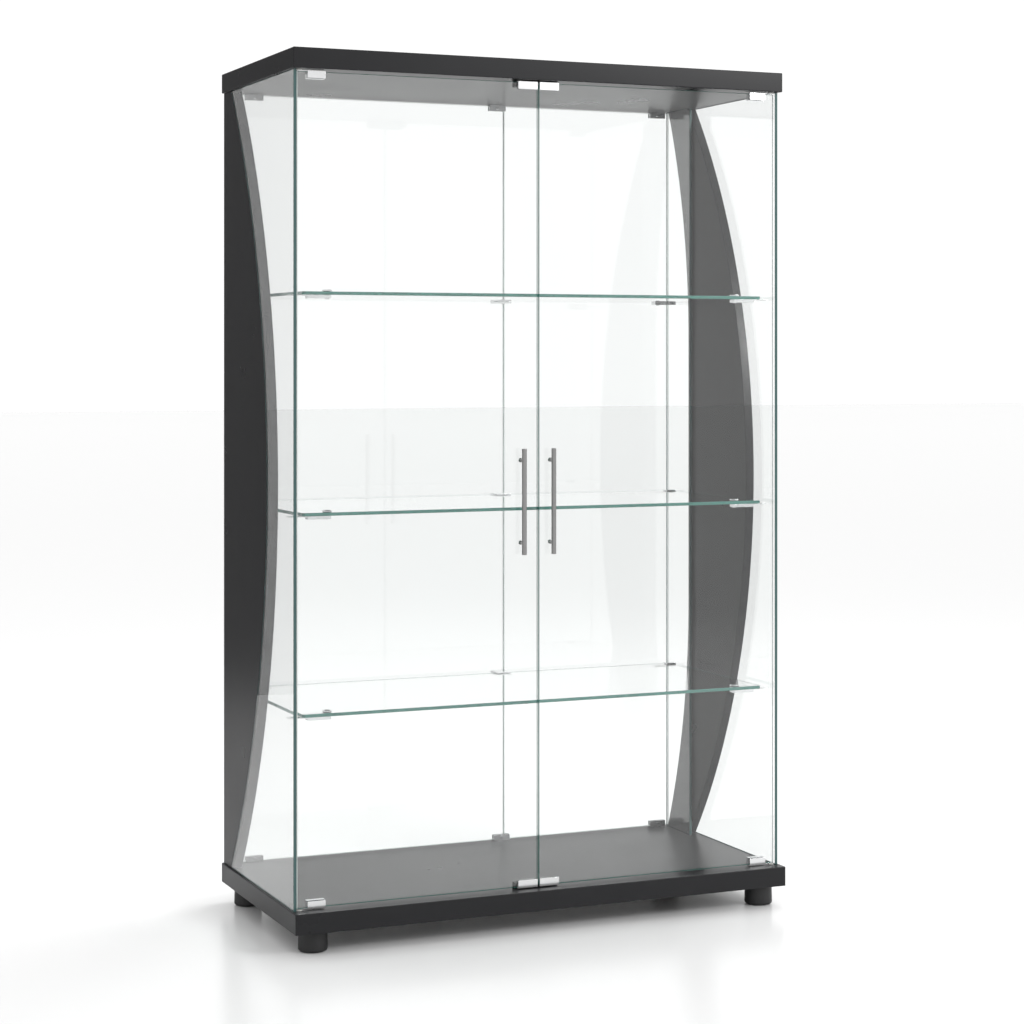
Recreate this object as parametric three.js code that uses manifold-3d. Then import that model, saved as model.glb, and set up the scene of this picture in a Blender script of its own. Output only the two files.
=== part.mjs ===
// Curio cabinet: two thick panels joined by curved side boards, glazed all round,
// with three glass shelves and a pair of glass doors on pivot hinges.
// Millimetres, +Z up. The doors face -Y. The floor is z = 0 and the base panel is centred on the origin.

import * as THREE from "three";
import { mergeVertices } from "three/addons/utils/BufferGeometryUtils.js";
import Module from "manifold-3d";

const wasm = await Module();
wasm.setup();

// Driving dimensions.
const cabinetWidth = 1000;
const cabinetDepth = 470;
const cabinetHeight = 1626;
const panelThickness = 37.5;
const topSetback = 12;
const footHeight = 40;
const footRadius = 27;
const footTreadInset = 4;
const footLipInset = 1.2;
const footLipHeight = 1;
const footEaseHeight = 3.5;
const fitGap = 0.3;
const cutOverrun = 1;

// Sides of the polygons that stand for round pieces.
const roundSides = 24;
const barSides = 28;
const discSides = 36;
const footSides = 40;

const boardThickness = 24;
const boardSideInset = 4;
const boardRearInset = 2;
const rabbetDepth = 11;
const rabbetFloorGap = 1;
const leftArc = { middle: 177, end: 409.5 };
const rightArc = { middle: 110, end: 358 };

const glassThickness = 6;
const sideGlassInset = 4;
const sideGlassFront = 25;
const doorGlassThickness = 5;
const doorSetback = 28;
const doorEdgeInset = 12;
const doorGapCentre = -15;
const doorGapWidth = 3;
const doorClearance = 4;
const backGlassSetback = 446;
const backSeam = 92;
const backSeamGap = 1;
const backEdgeGap = 1;
const backEdgeOverlap = 3.5;

const shelfThickness = 6;
const shelfHeights = { lower: 420, middle: 783.5, upper: 1184 };
const shelfHalfWidth = 471.4;
const shelfRearHalfWidth = 461.4;
const shelfFront = 49;
const shelfStep = 336;
const shelfRear = 425;
const shelfCornerEase = 4;
const cornerGlassFront = 340;

const pivotInset = 4.5;
const pinRadius = 2.6;
const pinHoleRadius = 3.2;
const pinHoleDepth = 12;
const pinEndGap = 1;

const handleLength = 198;
const handleRadius = 4.5;
const handlePostRadius = 3;
const handlePostSpacing = 154;
const handleHeight = 801.5;
const handleStandoff = 14;
const handleX = { left: -49.8, right: 10.4 };
const handleHoleRadius = 3.2;
const capRadius = 4;
const capShankRadius = 2.7;
const capShankLength = 4.2;
const capThickness = 2.6;
const capChamfer = 0.8;

// Bent metal fittings.
const backClipWidth = 36;
const backClipLeg = 10;
const backClipWall = 2.2;
const hingeTongueInset = 1;
const hingePlateInset = 19;
const hingeFarInset = 53;
const tongueOverlap = 1;
const hingeWall = 1.9;
const hingeFrontLeg = 11.5;
const hingeBackLeg = 12.5;
const hingeBodyDepth = 9;
const strikeWidth = 39.4;
const strikeGap = 0.6;
const strikeWall = 1.6;
const strikeLeg = 12.7;

// Derived positions. A depth is counted back from the front edge of the base panel.
const halfWidth = cabinetWidth / 2;
const frontY = -cabinetDepth / 2;
const atDepth = (d) => frontY + d;
const baseTop = footHeight + panelThickness;
const topUnder = cabinetHeight - panelThickness;
const midHeight = (baseTop + topUnder) / 2;
const doorBottom = baseTop + doorClearance;
const doorTop = topUnder - doorClearance;
const doorOuter = halfWidth - doorEdgeInset;
const pivotX = doorOuter - pivotInset;
const doorMidY = atDepth(doorSetback + doorGlassThickness / 2);

// A solid for the boolean kernel from a three.js geometry, and back again.
function solidOf(geometry) {
  const bare = geometry.index ? geometry.toNonIndexed() : geometry.clone();
  bare.deleteAttribute("normal");
  bare.deleteAttribute("uv");
  const merged = mergeVertices(bare, 1e-4);
  const mesh = new wasm.Mesh({
    numProp: 3,
    vertProperties: new Float32Array(merged.attributes.position.array),
    triVerts: new Uint32Array(merged.index.array),
  });
  return new wasm.Manifold(mesh);
}

function geometryOf(solid) {
  const mesh = solid.getMesh();
  const geometry = new THREE.BufferGeometry();
  const positions = new Float32Array(mesh.vertProperties);
  geometry.setAttribute("position", new THREE.BufferAttribute(positions, 3));
  geometry.setIndex(new THREE.BufferAttribute(new Uint32Array(mesh.triVerts), 1));
  geometry.computeVertexNormals();
  return geometry;
}

const cabinet = new THREE.Group();
cabinet.name = "curio_cabinet";

function add(name, geometry, look) {
  const material = new THREE.MeshStandardMaterial(look);
  const mesh = new THREE.Mesh(geometry, material);
  mesh.name = name;
  cabinet.add(mesh);
  return mesh;
}

const satinBlack = { color: 0x1d1e20, roughness: 0.5, metalness: 0 };
const clearGlass = {
  color: 0xcfe6e0,
  roughness: 0.03,
  metalness: 0,
  transparent: true,
  opacity: 0.3,
};
const satinMetal = { color: 0xc4c6c8, roughness: 0.32, metalness: 1 };
const darkPlastic = { color: 0x17181a, roughness: 0.6, metalness: 0 };
const footPlastic = { color: 0x0e0e0f, roughness: 0.7, metalness: 0 };

// A plain block from its lower to its upper corner.
function block(x0, x1, y0, y1, z0, z1) {
  const geometry = new THREE.BoxGeometry(x1 - x0, y1 - y0, z1 - z0);
  geometry.translate((x0 + x1) / 2, (y0 + y1) / 2, (z0 + z1) / 2);
  return geometry;
}

// A block standing on the X-Y plane with its four upright corners eased.
function easedBlock(x0, x1, y0, y1, z0, z1, ease) {
  const outline = new THREE.Shape();
  outline.moveTo(x0 + ease, y0);
  outline.lineTo(x1 - ease, y0);
  outline.lineTo(x1, y0 + ease);
  outline.lineTo(x1, y1 - ease);
  outline.lineTo(x1 - ease, y1);
  outline.lineTo(x0 + ease, y1);
  outline.lineTo(x0, y1 - ease);
  outline.lineTo(x0, y0 + ease);
  outline.closePath();
  const geometry = new THREE.ExtrudeGeometry(outline, { depth: z1 - z0, bevelEnabled: false });
  geometry.translate(0, 0, z0);
  return geometry;
}

// A profile drawn as [depth, height] pairs, pushed out along X from x0 to x1.
function pushedAlongX(pairs, x0, x1) {
  const outline = new THREE.Shape();
  pairs.forEach(([d, z], i) => {
    const y = atDepth(d);
    if (i === 0) outline.moveTo(y, z);
    else outline.lineTo(y, z);
  });
  outline.closePath();
  const geometry = new THREE.ExtrudeGeometry(outline, { depth: x1 - x0, bevelEnabled: false });
  const turn = new THREE.Matrix4().makeBasis(
    new THREE.Vector3(0, 1, 0),
    new THREE.Vector3(0, 0, 1),
    new THREE.Vector3(1, 0, 0),
  );
  geometry.applyMatrix4(turn);
  geometry.translate(x0, 0, 0);
  return geometry;
}

// A profile drawn as [x, height] pairs, pushed back along Y from depth d0 to d1.
function pushedAlongY(pairs, d0, d1) {
  const outline = new THREE.Shape();
  pairs.forEach(([x, z], i) => {
    if (i === 0) outline.moveTo(x, z);
    else outline.lineTo(x, z);
  });
  outline.closePath();
  const geometry = new THREE.ExtrudeGeometry(outline, { depth: d1 - d0, bevelEnabled: false });
  geometry.rotateX(Math.PI / 2);
  geometry.translate(0, atDepth(d1), 0);
  return geometry;
}

function upright(radius, z0, z1, x, y, sides = roundSides) {
  const geometry = new THREE.CylinderGeometry(radius, radius, z1 - z0, sides);
  geometry.rotateX(Math.PI / 2);
  geometry.translate(x, y, (z0 + z1) / 2);
  return geometry;
}

function crosswise(radius, y0, y1, x, z, sides = roundSides) {
  const geometry = new THREE.CylinderGeometry(radius, radius, y1 - y0, sides);
  geometry.translate(x, (y0 + y1) / 2, z);
  return geometry;
}

// Base and top panels, each with a blind socket for the pivot pin of either door.
const pivots = [-pivotX, pivotX];

const panelEase = 1;

let base = solidOf(
  easedBlock(-halfWidth, halfWidth, frontY, -frontY, footHeight, baseTop, panelEase),
);
let top = solidOf(
  easedBlock(-halfWidth, halfWidth, atDepth(topSetback), -frontY, topUnder, cabinetHeight, panelEase),
);
for (const x of pivots) {
  const lowSocket = upright(
    pinHoleRadius,
    baseTop - pinHoleDepth,
    baseTop + cutOverrun,
    x,
    doorMidY,
  );
  const highSocket = upright(
    pinHoleRadius,
    topUnder - cutOverrun,
    topUnder + pinHoleDepth,
    x,
    doorMidY,
  );
  base = base.subtract(solidOf(lowSocket));
  top = top.subtract(solidOf(highSocket));
}
add("base_panel", geometryOf(base), satinBlack);
add("top_panel", geometryOf(top), satinBlack);

// Plain round feet, slightly rounded where they meet the floor.
const footPlaces = {
  front_left: [-453, 45],
  front_right: [464, 45],
  rear_left: [-458, 430],
  rear_right: [458, 430],
};
for (const [place, [x, d]] of Object.entries(footPlaces)) {
  const profile = [
    [0, 0],
    [footRadius - footTreadInset, 0],
    [footRadius - footLipInset, footLipHeight],
    [footRadius, footEaseHeight],
    [footRadius, footHeight - fitGap],
    [0, footHeight - fitGap],
  ];
  const points = profile.map(([r, z]) => new THREE.Vector2(r, z));
  const foot = new THREE.LatheGeometry(points, footSides);
  foot.rotateX(Math.PI / 2);
  foot.translate(x, atDepth(d), 0);
  add("foot_" + place, foot, footPlastic);
}

// Side boards. The front edge is an arc that is deepest at mid height. The left board runs
// straight down the back; the right board is drawn in between two tangent arcs.
function arcDepth(middle, end, z) {
  const half = (topUnder - baseTop) / 2;
  const rise = end - middle;
  const radius = (half * half + rise * rise) / (2 * rise);
  const dz = z - midHeight;
  return middle + radius - Math.sqrt(radius * radius - dz * dz);
}

const leftFront = (z) => arcDepth(leftArc.middle, leftArc.end, z);
const rightFront = (z) => arcDepth(rightArc.middle, rightArc.end, z);
const leftRear = () => cabinetDepth - boardRearInset;

function rightRear(z) {
  const straight = 350;
  const lowEnd = 563;
  const highEnd = 1110;
  const radius = 1300;
  const beyond = Math.max(0, z - highEnd, lowEnd - z);
  return straight + radius - Math.sqrt(radius * radius - beyond * beyond);
}

const boardSteps = 64;
const heights = (z0, z1, steps) =>
  Array.from({ length: steps + 1 }, (_, i) => z0 + ((z1 - z0) * i) / steps);

function boardOutline(front, rear) {
  const zs = heights(baseTop + fitGap, topUnder - fitGap, boardSteps);
  const forward = zs.map((z) => [front(z), z]);
  const backward = [...zs].reverse().map((z) => [rear(z), z]);
  return [...forward, ...backward];
}

// The rabbet that takes the side glass follows the arc, so it is cut with a shifted copy of it.
// The glass lies flush with the outer face of the board.
function rabbetOutline(front) {
  const overrun = 5;
  const lead = 60;
  const zs = heights(baseTop - overrun, topUnder + overrun, boardSteps);
  const ahead = zs.map((z) => [front(z) - lead, z]);
  const floor = [...zs].reverse().map((z) => [front(z) + rabbetDepth, z]);
  return [...ahead, ...floor];
}

const boardOuter = halfWidth - boardSideInset;
const boardInner = boardOuter - boardThickness;
const glassOuter = halfWidth - sideGlassInset;
const glassInner = glassOuter - glassThickness;

function sideBoard(sign, front, rear) {
  const x0 = sign < 0 ? -boardOuter : boardInner;
  const g0 = sign < 0 ? -glassOuter : glassInner;
  const plate = solidOf(pushedAlongX(boardOutline(front, rear), x0, x0 + boardThickness));
  const rabbet = pushedAlongX(rabbetOutline(front), g0 - fitGap, g0 + glassThickness + fitGap);
  return geometryOf(plate.subtract(solidOf(rabbet)));
}

add("side_board_left", sideBoard(-1, leftFront, leftRear), satinBlack);
add("side_board_right", sideBoard(1, rightFront, rightRear), satinBlack);

// Side glass: straight at the front, where it stands a little ahead of the doors, and shaped to
// the board at the back.
function sidePane(sign, front) {
  const x0 = sign < 0 ? -glassOuter : glassInner;
  const zs = heights(baseTop + fitGap, topUnder - fitGap, boardSteps);
  const rearEdge = [...zs].reverse().map((z) => [front(z) + rabbetDepth - rabbetFloorGap, z]);
  const outline = [
    [sideGlassFront, baseTop + fitGap],
    [sideGlassFront, topUnder - fitGap],
    ...rearEdge,
  ];
  return pushedAlongX(outline.reverse(), x0, x0 + glassThickness);
}

add("side_glass_left", sidePane(-1, leftFront), clearGlass);
add("side_glass_right", sidePane(1, rightFront), clearGlass);

// A narrow pane closes the rear corner inside the drawn-in right board.
add(
  "corner_glass_right",
  block(
    boardInner - fitGap - glassThickness,
    boardInner - fitGap,
    atDepth(cornerGlassFront),
    atDepth(backGlassSetback - fitGap),
    baseTop + fitGap,
    topUnder - fitGap,
  ),
  clearGlass,
);

// Back glass in two panes with a narrow upright gap between them. The right pane runs on
// behind the drawn-in board.
const backEdgeLeft = -(boardInner - backEdgeGap);
const backEdgeRight = boardInner + backEdgeOverlap;
const backClearance = 3;
const backBottom = baseTop + backClearance;
const backTop = topUnder - backClearance;
const backFront = atDepth(backGlassSetback);
const backRear = backFront + glassThickness;
const seamLeft = backSeam - backSeamGap / 2;
const seamRight = backSeam + backSeamGap / 2;

add(
  "back_glass_left",
  block(backEdgeLeft, seamLeft, backFront, backRear, backBottom, backTop),
  clearGlass,
);
add(
  "back_glass_right",
  block(seamRight, backEdgeRight, backFront, backRear, backBottom, backTop),
  clearGlass,
);

// A channel that wraps a glass edge lying along X. "up" is +1 on a lower edge, -1 on an upper one.
function channel({ x0, x1, glassFront, glassBack, edge, up, frontLeg, backLeg, wall, backWall }) {
  const web = edge - up * fitGap;
  const outer = web - up * wall;
  const f1 = glassFront - fitGap;
  const f0 = f1 - wall;
  const b0 = glassBack + fitGap;
  const b1 = b0 + backWall;
  const outline = [
    [f0, outer],
    [b1, outer],
    [b1, edge + up * backLeg],
    [b0, edge + up * backLeg],
    [b0, web],
    [f1, web],
    [f1, edge + up * frontLeg],
    [f0, edge + up * frontLeg],
  ];
  return pushedAlongX(up > 0 ? outline : outline.reverse(), x0, x1);
}

// Clips that hold the back glass off the two panels. The middle ones overlap the seam, with most
// of their width on the left pane.
const clipPlaces = {
  left: { top: -436, bottom: -436 },
  centre: { top: 77, bottom: 86 },
  right: { top: 444, bottom: 444 },
};
for (const [place, spots] of Object.entries(clipPlaces)) {
  for (const [level, edge, up] of [
    ["top", backTop, -1],
    ["bottom", backBottom, 1],
  ]) {
    const x = spots[level];
    const clip = channel({
      x0: x - backClipWidth / 2,
      x1: x + backClipWidth / 2,
      glassFront: backGlassSetback,
      glassBack: backGlassSetback + glassThickness,
      edge,
      up,
      frontLeg: backClipLeg,
      backLeg: backClipLeg,
      wall: backClipWall,
      backWall: backClipWall,
    });
    add("back_clip_" + place + "_" + level, clip, satinMetal);
  }
}

// Shelves, with eased front corners, stepped in at the back to clear the corner fittings, and
// drilled near each front corner for the screw of the shelf clamp.
const clampDepth = 64;
const clampScrewX = 420;
const clampScrewRadius = 3;
const clampHoleRadius = 3.4;

const shelfRightEdge = [
  [0, shelfFront],
  [shelfHalfWidth - shelfCornerEase, shelfFront],
  [shelfHalfWidth, shelfFront + shelfCornerEase],
  [shelfHalfWidth, shelfStep],
  [shelfRearHalfWidth, shelfStep],
  [shelfRearHalfWidth, shelfRear],
];
const shelfLeftEdge = shelfRightEdge
  .slice(1)
  .reverse()
  .map(([x, d]) => [-x, d]);

for (const [level, z] of Object.entries(shelfHeights)) {
  const outline = new THREE.Shape(
    [...shelfRightEdge, ...shelfLeftEdge].map(([x, d]) => new THREE.Vector2(x, atDepth(d))),
  );
  const sheet = new THREE.ExtrudeGeometry(outline, { depth: shelfThickness, bevelEnabled: false });
  sheet.translate(0, 0, z);
  let shelf = solidOf(sheet);
  for (const x of [-clampScrewX, clampScrewX]) {
    const low = z - cutOverrun;
    const high = z + shelfThickness + cutOverrun;
    const hole = upright(clampHoleRadius, low, high, x, atDepth(clampDepth));
    shelf = shelf.subtract(solidOf(hole));
  }
  add("shelf_" + level, geometryOf(shelf), clearGlass);
}

// Front shelf clamps. A thick plate under the shelf and a disc on top of it are joined by a
// screw through the glass. A thin strap runs out from the plate to the side glass.
const clampPlateInner = 415;
const clampPlateOuter = 459;
const clampPlateThickness = 6.2;
const clampWidth = 18;
const clampStrap = 1.6;
const clampDiscRadius = 9;
const clampDiscThickness = 3;

function frontClamp(z, away) {
  const under = z - fitGap;
  const over = z + shelfThickness + fitGap;
  const strapEnd = glassInner - fitGap;
  const outline = [
    [clampPlateInner, under],
    [clampPlateInner, under - clampPlateThickness],
    [clampPlateOuter, under - clampPlateThickness],
    [clampPlateOuter, under - clampStrap],
    [strapEnd, under - clampStrap],
    [strapEnd, under],
  ];
  const pairs = away > 0 ? outline : outline.map(([x, h]) => [-x, h]).reverse();
  const d0 = clampDepth - clampWidth / 2;
  const d1 = clampDepth + clampWidth / 2;
  const screwX = away * clampScrewX;
  const screwY = atDepth(clampDepth);
  const sink = 1;
  const plate = solidOf(pushedAlongY(pairs, d0, d1));
  const screw = upright(clampScrewRadius, under - sink, over + sink, screwX, screwY);
  const disc = upright(clampDiscRadius, over, over + clampDiscThickness, screwX, screwY, discSides);
  return geometryOf(plate.add(solidOf(screw)).add(solidOf(disc)));
}

// Rear shelf clips. A long lower jaw and a short upper jaw hook round the edge of the shelf. The
// corner clips reach out to the board or the corner glass, the centre clip to the back glass.
const jawLow = 3.4;
const jawHigh = 2.4;
const jawReachHigh = 16;
const cornerJawReach = 44;
const cornerJawWidth = 18;
const cornerJawFromRear = 24;
const centreJawReach = 18;
const centreJawWidth = 30;
const centreJawX = 77;

function jawOutline(edge, reachLow, wall, z, away) {
  const under = z - fitGap;
  const over = z + shelfThickness + fitGap;
  const web0 = edge + away * fitGap;
  const web1 = web0 + away * wall;
  return [
    [web1, under - jawLow],
    [edge - away * reachLow, under - jawLow],
    [edge - away * reachLow, under],
    [web0, under],
    [web0, over],
    [edge - away * jawReachHigh, over],
    [edge - away * jawReachHigh, over + jawHigh],
    [web1, over + jawHigh],
  ];
}

for (const [level, z] of Object.entries(shelfHeights)) {
  for (const [side, away, wallAt] of [
    ["left", -1, boardInner],
    ["right", 1, boardInner - fitGap - glassThickness],
  ]) {
    add(["shelf_clip", level, side, "front"].join("_"), frontClamp(z, away), satinMetal);

    const wall = wallAt - shelfRearHalfWidth - 2 * fitGap;
    const outline = jawOutline(away * shelfRearHalfWidth, cornerJawReach, wall, z, away);
    const pairs = away > 0 ? outline.reverse() : outline;
    const d = shelfRear - cornerJawFromRear;
    const clip = pushedAlongY(pairs, d, d + cornerJawWidth);
    add(["shelf_clip", level, side, "rear"].join("_"), clip, satinMetal);
  }
  const wall = backGlassSetback - shelfRear - 2 * fitGap;
  const outline = jawOutline(shelfRear, centreJawReach, wall, z, 1);
  const x0 = centreJawX - centreJawWidth / 2;
  const clip = pushedAlongX(outline.reverse(), x0, x0 + centreJawWidth);
  add(["shelf_clip", level, "centre", "rear"].join("_"), clip, satinMetal);
}

// Doors, hung between the side panes. Each leaf carries its hinge clamps, pivot pins, strike
// plates and handle.
const doorFrontD = doorSetback;
const doorBackD = doorSetback + doorGlassThickness;
const leaves = [
  { side: "left", sign: -1, outer: -doorOuter, inner: doorGapCentre - doorGapWidth / 2 },
  { side: "right", sign: 1, outer: doorOuter, inner: doorGapCentre + doorGapWidth / 2 },
];

for (const leaf of leaves) {
  const low = Math.min(leaf.outer, leaf.inner);
  const high = Math.max(leaf.outer, leaf.inner);
  const barX = handleX[leaf.side];
  const pane = block(low, high, atDepth(doorFrontD), atDepth(doorBackD), doorBottom, doorTop);
  let glass = solidOf(pane);
  const posts = [handleHeight - handlePostSpacing / 2, handleHeight + handlePostSpacing / 2];
  for (const z of posts) {
    const near = atDepth(doorFrontD - cutOverrun);
    const beyond = atDepth(doorBackD + cutOverrun);
    const hole = crosswise(handleHoleRadius, near, beyond, barX, z);
    glass = glass.subtract(solidOf(hole));
  }
  add("door_glass_" + leaf.side, geometryOf(glass), clearGlass);

  for (const [level, edge, up] of [
    ["top", doorTop, -1],
    ["bottom", doorBottom, 1],
  ]) {
    // The clamp grips the glass, and a tongue of its web runs out over the pivot.
    const tongueEnd = leaf.outer - leaf.sign * hingeTongueInset;
    const plate = leaf.outer - leaf.sign * hingePlateInset;
    const far = leaf.outer - leaf.sign * hingeFarInset;
    const grip = channel({
      x0: Math.min(plate, far),
      x1: Math.max(plate, far),
      glassFront: doorFrontD,
      glassBack: doorBackD,
      edge,
      up,
      frontLeg: hingeFrontLeg,
      backLeg: hingeBackLeg,
      wall: hingeWall,
      backWall: hingeBodyDepth,
    });
    const web = edge - up * fitGap;
    const outerFace = web - up * hingeWall;
    const tongueStart = plate - leaf.sign * tongueOverlap;
    const tongue = block(
      Math.min(tongueEnd, tongueStart),
      Math.max(tongueEnd, tongueStart),
      atDepth(doorFrontD),
      atDepth(doorBackD),
      Math.min(web, outerFace),
      Math.max(web, outerFace),
    );
    const clamp = solidOf(grip).add(solidOf(tongue));
    add(["hinge_clamp", leaf.side, level].join("_"), geometryOf(clamp), satinMetal);

    // The pin stands in the socket of the panel, clear of the clamp by the fit gap.
    const shoulder = outerFace - up * fitGap;
    const pinReach = pinHoleDepth - pinEndGap;
    const tip = up > 0 ? baseTop - pinReach : topUnder + pinReach;
    const pin = upright(
      pinRadius,
      Math.min(shoulder, tip),
      Math.max(shoulder, tip),
      leaf.sign * pivotX,
      doorMidY,
    );
    add(["hinge_pin", leaf.side, level].join("_"), pin, satinMetal);

    const s0 = leaf.inner + leaf.sign * strikeGap;
    const s1 = s0 + leaf.sign * strikeWidth;
    const strike = channel({
      x0: Math.min(s0, s1),
      x1: Math.max(s0, s1),
      glassFront: doorFrontD,
      glassBack: doorBackD,
      edge,
      up,
      frontLeg: strikeLeg,
      backLeg: strikeLeg,
      wall: strikeWall,
      backWall: strikeWall,
    });
    add(["strike_plate", leaf.side, level].join("_"), strike, satinMetal);
  }

  // A round bar on two posts that screw up against the glass.
  const barY = atDepth(doorFrontD - handleStandoff);
  const barLow = handleHeight - handleLength / 2;
  const barHigh = handleHeight + handleLength / 2;
  let handle = solidOf(upright(handleRadius, barLow, barHigh, barX, barY, barSides));
  for (const z of posts) {
    const post = crosswise(handlePostRadius, barY, atDepth(doorFrontD - fitGap), barX, z);
    handle = handle.add(solidOf(post));
  }
  add("handle_" + leaf.side, geometryOf(handle), satinMetal);

  // The screw behind the glass, with a shank that stays inside the hole.
  for (const [level, z] of [
    ["lower", posts[0]],
    ["upper", posts[1]],
  ]) {
    const shankEnd = -fitGap - capShankLength;
    const profile = [
      [0, shankEnd],
      [capShankRadius, shankEnd],
      [capShankRadius, 0],
      [capRadius, 0],
      [capRadius, capThickness - capChamfer],
      [capRadius - capChamfer, capThickness],
      [0, capThickness],
    ];
    const points = profile.map(([r, t]) => new THREE.Vector2(r, t));
    const cap = new THREE.LatheGeometry(points, roundSides);
    cap.translate(barX, atDepth(doorBackD + fitGap), z);
    add(["handle_cap", leaf.side, level].join("_"), cap, satinMetal);
  }
}

// Double magnetic catches behind the meeting corners of the doors.
const catchX = [-58, 28];
const catchDepths = [36, 54];
const catchEase = 2;
const topCatchHeight = 12;
const bottomCatchHeight = 10;

for (const [level, z0, z1] of [
  ["top", topUnder - fitGap - topCatchHeight, topUnder - fitGap],
  ["bottom", baseTop + fitGap, baseTop + fitGap + bottomCatchHeight],
]) {
  const [y0, y1] = catchDepths.map(atDepth);
  const body = easedBlock(catchX[0], catchX[1], y0, y1, z0, z1, catchEase);
  add("magnet_catch_" + level, body, darkPlastic);
}

export default cabinet;
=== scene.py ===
# Curio cabinet: the look of the finished piece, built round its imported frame. Metres, +Z up,
# doors to -Y.

import math

import bmesh
import bpy
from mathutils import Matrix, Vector


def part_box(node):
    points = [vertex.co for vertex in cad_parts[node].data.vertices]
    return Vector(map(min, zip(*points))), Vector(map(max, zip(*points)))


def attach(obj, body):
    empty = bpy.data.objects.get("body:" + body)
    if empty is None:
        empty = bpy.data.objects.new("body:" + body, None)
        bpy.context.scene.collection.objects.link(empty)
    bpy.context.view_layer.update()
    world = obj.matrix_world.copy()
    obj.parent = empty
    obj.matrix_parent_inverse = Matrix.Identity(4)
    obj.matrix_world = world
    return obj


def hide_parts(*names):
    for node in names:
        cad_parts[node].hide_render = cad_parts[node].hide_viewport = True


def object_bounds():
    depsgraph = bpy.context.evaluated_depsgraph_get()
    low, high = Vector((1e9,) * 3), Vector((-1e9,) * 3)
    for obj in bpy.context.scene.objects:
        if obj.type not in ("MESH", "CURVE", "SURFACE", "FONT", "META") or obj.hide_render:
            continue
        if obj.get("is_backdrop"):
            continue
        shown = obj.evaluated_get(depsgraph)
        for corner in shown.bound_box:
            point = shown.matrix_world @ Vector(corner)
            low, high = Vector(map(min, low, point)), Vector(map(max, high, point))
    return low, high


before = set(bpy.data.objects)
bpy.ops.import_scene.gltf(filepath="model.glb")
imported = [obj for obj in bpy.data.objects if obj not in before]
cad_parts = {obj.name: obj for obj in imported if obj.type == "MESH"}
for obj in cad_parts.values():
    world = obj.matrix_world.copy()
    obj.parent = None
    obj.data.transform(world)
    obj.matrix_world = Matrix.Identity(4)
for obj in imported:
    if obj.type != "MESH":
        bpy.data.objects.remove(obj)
packed_low, packed_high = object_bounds()


# ---------------------------------------------------------------------------------------------
# Camera. It stands level, a little above the middle of the cabinet and to its left, and the
# lens is shifted so that the uprights stay upright and the whole cabinet is in view.

camera_data = bpy.data.cameras.new("camera")
camera_data.sensor_width = 36.0
camera_data.lens = 81.79
camera_data.shift_x = -0.0005
camera_data.shift_y = -0.1530
camera = bpy.data.objects.new("camera", camera_data)
camera.location = (-1.782, -4.1908, 1.0743)
camera.rotation_euler = (math.radians(90), 0, math.radians(-23.282))
bpy.context.scene.collection.objects.link(camera)
bpy.context.scene.camera = camera


# ---------------------------------------------------------------------------------------------
# Studio. A wide pale floor that mirrors the feet a little, an even white surround, a large soft
# light above and to the right, and a softbox at the front right that the top board catches.

bpy.context.scene.view_settings.view_transform = "Standard"

surround = bpy.data.worlds.new("white_surround")
surround.use_nodes = True
surround_light = surround.node_tree.nodes["Background"]
surround_light.inputs["Color"].default_value = (1.0, 1.0, 1.0, 1.0)
surround_light.inputs["Strength"].default_value = 1.08
bpy.context.scene.world = surround


def soft_light(name, place, aim, width, height, power):
    lamp = bpy.data.lights.new(name, "AREA")
    lamp.shape = "RECTANGLE"
    lamp.size = width
    lamp.size_y = height
    lamp.energy = power
    holder = bpy.data.objects.new(name, lamp)
    holder.location = place
    towards = Vector(aim) - Vector(place)
    holder.rotation_euler = towards.to_track_quat("-Z", "Y").to_euler()
    bpy.context.scene.collection.objects.link(holder)


soft_light("overhead_light", (1.6, 0.9, 3.4), (0, 0, 0.6), 2.2, 2.2, 55)
soft_light("right_softbox", (3.0, -3.9, 2.88), (0.3, -0.2, 1.6), 1.9, 1.3, 115)


# A matt dark card stands behind the cabinet, to its left. Only reflections show it, and it keeps
# white off the glossy boards and the side glass.
card_tone = 0.12
card_corner = Vector((-4.2, 2.4, 0))
card_across = Vector((3.55, 0.6, 0))
card_up = Vector((0, 0, 3.2))
card_bm = bmesh.new()
card_ring = [
    card_corner,
    card_corner + card_across,
    card_corner + card_across + card_up,
    card_corner + card_up,
]
card_bm.faces.new([card_bm.verts.new(point) for point in card_ring])
card_mesh = bpy.data.meshes.new("dark_card")
card_bm.to_mesh(card_mesh)
card_bm.free()
card_paint = bpy.data.materials.new("matt_card_paint")
card_paint.use_nodes = True
card_shader = card_paint.node_tree.nodes["Principled BSDF"]
card_shader.inputs["Base Color"].default_value = (card_tone, card_tone, card_tone, 1)
card_shader.inputs["Roughness"].default_value = 0.9
card_mesh.materials.append(card_paint)
dark_card = bpy.data.objects.new("dark_card", card_mesh)
bpy.context.scene.collection.objects.link(dark_card)
dark_card.visible_camera = False
dark_card.visible_diffuse = False
dark_card.visible_transmission = False
dark_card.visible_shadow = False
dark_card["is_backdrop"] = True

floor_reach = 40
floor_tone = 0.80
floor_mesh = bpy.data.meshes.new("studio_floor")
floor_bm = bmesh.new()
bmesh.ops.create_grid(floor_bm, x_segments=2, y_segments=2, size=floor_reach)
floor_bm.to_mesh(floor_mesh)
floor_bm.free()
studio_floor = bpy.data.objects.new("studio_floor", floor_mesh)
bpy.context.scene.collection.objects.link(studio_floor)

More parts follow.
